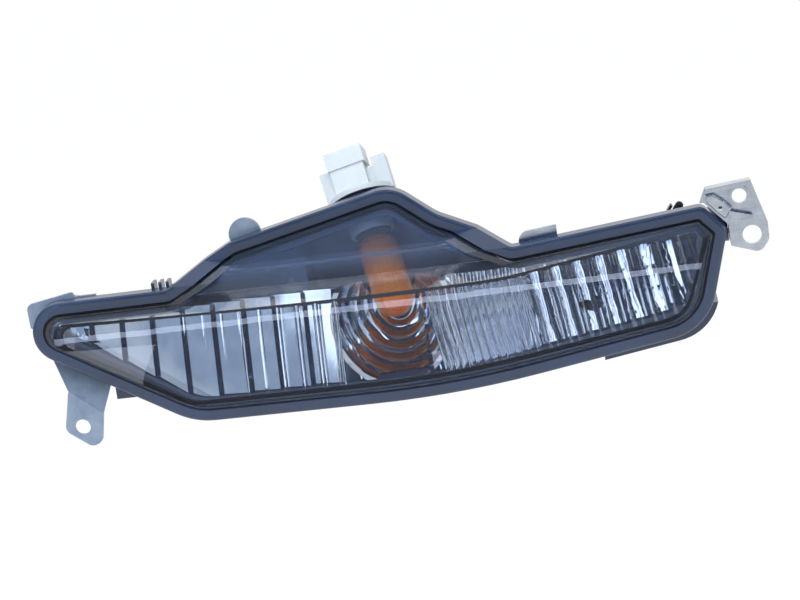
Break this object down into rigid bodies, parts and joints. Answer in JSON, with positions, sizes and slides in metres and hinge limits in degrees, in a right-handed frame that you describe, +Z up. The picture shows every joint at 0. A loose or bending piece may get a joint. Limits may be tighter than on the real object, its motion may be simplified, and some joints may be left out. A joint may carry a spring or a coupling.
{
  "type": "vehicle indicator lamp",
  "caption": "Slim front-bumper indicator lamp: clear stepped lens with inner ribs and flutes, metallised reflector, amber bulb in a twist-in holder and steel fixing brackets.",
  "frame": {"origin": "centre of the outer bracket's lower bolt hole, on the bracket plate's front face", "axes": "+X along the lamp towards the outer bracket, +Y from the lens to the back, +Z up"},
  "size_m": [0.339, 0.0808, 0.1177],
  "materials": {
    "housing": "satin",
    "lens": "polished clear",
    "lens_seal": "matte",
    "reflector": "vapour-metallised",
    "amber_glass": "coated amber",
    "bulb_base": "satin",
    "tungsten": "drawn wire",
    "holder": "natural nylon",
    "terminals": "stamped",
    "rubber": "matte",
    "zinc_steel": "bright zinc",
    "grey_steel": "satin grey-blue",
    "black_plastic": "satin"
  },
  "bodies": {
    "lamp": {"housing": "housing", "lens": "lens", "lens_seal": "lens_seal", "reflector": "reflector", "reflector_pin": "black_plastic", "outer_bracket": "zinc_steel", "outer_bracket_screws": "zinc_steel", "inner_bracket": "grey_steel", "inner_bracket_screws": "zinc_steel", "centre_tab": "zinc_steel", "centre_tab_screw": "zinc_steel", "round_tab": "grey_steel", "round_tab_screw": "zinc_steel", "retaining_clip": "black_plastic"},
    "bulb_carrier": {"bulb_holder": "holder", "holder_terminals": "terminals", "holder_seal": "rubber", "bulb_glass": "amber_glass", "bulb_base": "bulb_base", "bulb_filament": "tungsten"}
  },
  "joints": [
    {"name": "holder_twist", "type": "hinge", "parent": "lamp", "child": "bulb_carrier", "pos_m": [-0.164, 0.0179, -0.0152], "axis": [-0.2039, 0.4226, 0.8831], "range_deg": [0, 45]}
  ]
}
